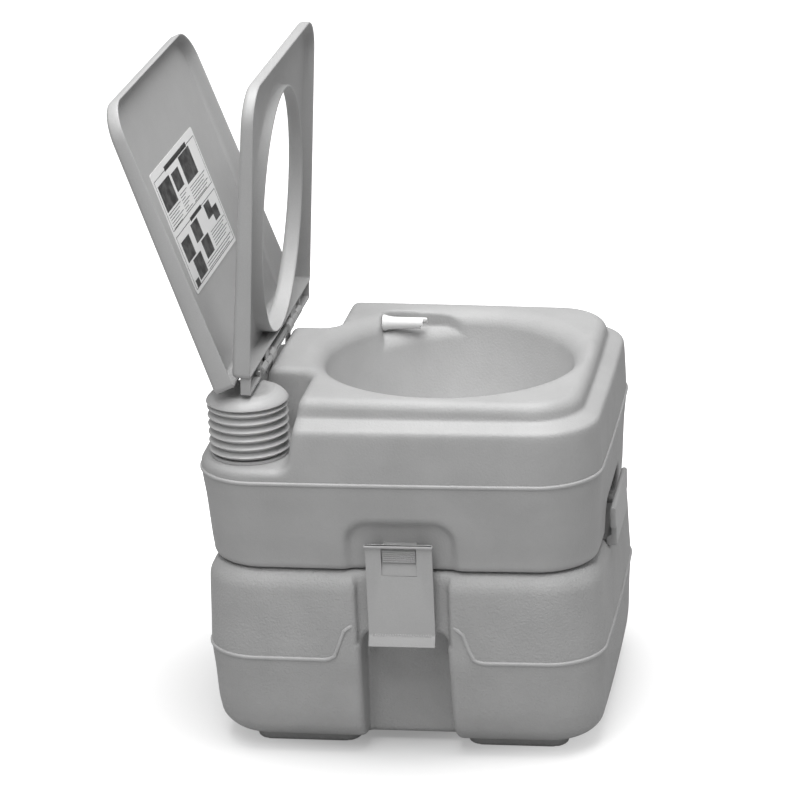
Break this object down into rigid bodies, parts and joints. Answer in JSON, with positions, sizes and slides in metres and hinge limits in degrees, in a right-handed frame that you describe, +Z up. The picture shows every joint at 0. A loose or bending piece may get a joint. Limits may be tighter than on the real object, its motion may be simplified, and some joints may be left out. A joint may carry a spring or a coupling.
{
  "type": "portable camp toilet",
  "caption": "Two-tank portable toilet: upper water tank with bowl, seat and lid latched on a lower waste tank with slide valve, bellows flush pump and pour spout.",
  "frame": {"origin": "floor level, at the middle of the bounding box of the whole toilet with its lid and seat open; the tanks' own centre line is 31.9 mm in front of it (-Y)", "axes": "+Z up; -Y is the front, where the valve handle is; +Y is the rear, with the hinge and the pump; +X is the side with the filler cap and the flush nozzle"},
  "size_m": [0.3816, 0.4851, 0.7015],
  "materials": {
    "tank_plastic": "blow-moulded polyethylene, fine pebble",
    "seat_plastic": "injection-moulded, satin",
    "pump_plastic": "soft satin polyethylene",
    "nozzle_white": "semi-gloss white",
    "label": "printed film",
    "rubber": "matt",
    "steel": "plain",
    "hose": "translucent hose"
  },
  "bodies": {
    "lower_tank": {"lower_tank": "tank_plastic", "valve_frame": "seat_plastic", "valve_seal": "rubber", "frame_screw_1": "steel", "frame_screw_2": "steel", "frame_screw_3": "steel", "frame_screw_4": "steel", "spout_collar": "seat_plastic", "latch_catch_left": "seat_plastic", "latch_catch_right": "seat_plastic", "vent_spring": "steel"},
    "valve_blade": {"valve_blade": "seat_plastic", "valve_handle": "seat_plastic"},
    "pour_spout": {"pour_spout": "seat_plastic"},
    "spout_cap": {"spout_cap": "tank_plastic", "spout_seal": "rubber"},
    "vent_button": {"vent_button": "seat_plastic", "vent_washer": "rubber"},
    "upper_tank": {"upper_tank": "tank_plastic", "pump_base": "pump_plastic", "pump_bellows": "pump_plastic", "pump_valve": "nozzle_white", "pump_tube": "hose", "flush_hose": "hose", "flush_nozzle": "nozzle_white", "nozzle_flange": "nozzle_white", "nozzle_grommet": "rubber", "hinge_bracket_left": "seat_plastic", "hinge_bracket_right": "seat_plastic", "hinge_screw_left": "steel", "hinge_screw_right": "steel", "hinge_rod": "steel", "latch_bracket_left": "seat_plastic", "latch_bracket_right": "seat_plastic", "latch_pin_left": "steel", "latch_pin_right": "steel"},
    "fill_seal": {"fill_seal": "rubber"},
    "fill_cap": {"fill_cap": "tank_plastic"},
    "pump_cap": {"pump_cap": "pump_plastic"},
    "latch_left": {"latch_plate_left": "seat_plastic"},
    "latch_right": {"latch_plate_right": "seat_plastic"},
    "seat": {"seat": "seat_plastic"},
    "lid": {"lid": "seat_plastic", "instruction_label": "label"}
  },
  "joints": [
    {"name": "tank_release", "type": "slide", "parent": "lower_tank", "child": "upper_tank", "axis": [0, 0, 1], "range_m": [0, 0.15]},
    {"name": "valve_slide", "type": "slide", "parent": "lower_tank", "child": "valve_blade", "axis": [0, -1, 0], "range_m": [0, 0.1]},
    {"name": "spout_swivel", "type": "hinge", "parent": "lower_tank", "child": "pour_spout", "pos_m": [-0.066, 0.1311, 0.156], "axis": [0, 0, 1], "range_deg": [0, 90]},
    {"name": "spout_cap_turn", "type": "hinge", "parent": "pour_spout", "child": "spout_cap", "pos_m": [0.048, 0.1311, 0.156], "axis": [1, 0, 0], "range_deg": [0, 360]},
    {"name": "vent_press", "type": "slide", "parent": "lower_tank", "child": "vent_button", "axis": [0, 0, -1], "range_m": [0, 0.004], "stiffness_N_per_m": 400, "springref_m": -0.003, "deforming": ["vent_spring"]},
    {"name": "fill_cap_lift", "type": "slide", "parent": "upper_tank", "child": "fill_seal", "axis": [0, 0, 1], "range_m": [0, 0.038]},
    {"name": "fill_cap_turn", "type": "hinge", "parent": "fill_seal", "child": "fill_cap", "pos_m": [0.127, 0.1211, 0.32], "axis": [0, 0, 1], "range_deg": [0, 360]},
    {"name": "pump_press", "type": "slide", "parent": "upper_tank", "child": "pump_cap", "axis": [0, 0, -1], "range_m": [0, 0.035], "stiffness_N_per_m": 600, "springref_m": -0.004, "deforming": ["pump_bellows"]},
    {"name": "latch_left_swing", "type": "hinge", "parent": "upper_tank", "child": "latch_left", "pos_m": [-0.177, -0.0364, 0.2355], "axis": [0, 1, 0], "range_deg": [0, 80]},
    {"name": "latch_right_swing", "type": "hinge", "parent": "upper_tank", "child": "latch_right", "pos_m": [0.177, -0.0364, 0.2355], "axis": [0, -1, 0], "range_deg": [0, 80]},
    {"name": "seat_hinge", "type": "hinge", "parent": "upper_tank", "child": "seat", "pos_m": [0, 0.1127, 0.394], "axis": [1, 0, 0], "range_deg": [0, 87.5]},
    {"name": "lid_hinge", "type": "hinge", "parent": "seat", "child": "lid", "pos_m": [0, 0.1127, 0.394], "axis": [1, 0, 0], "range_deg": [0, 25.8]}
  ]
}
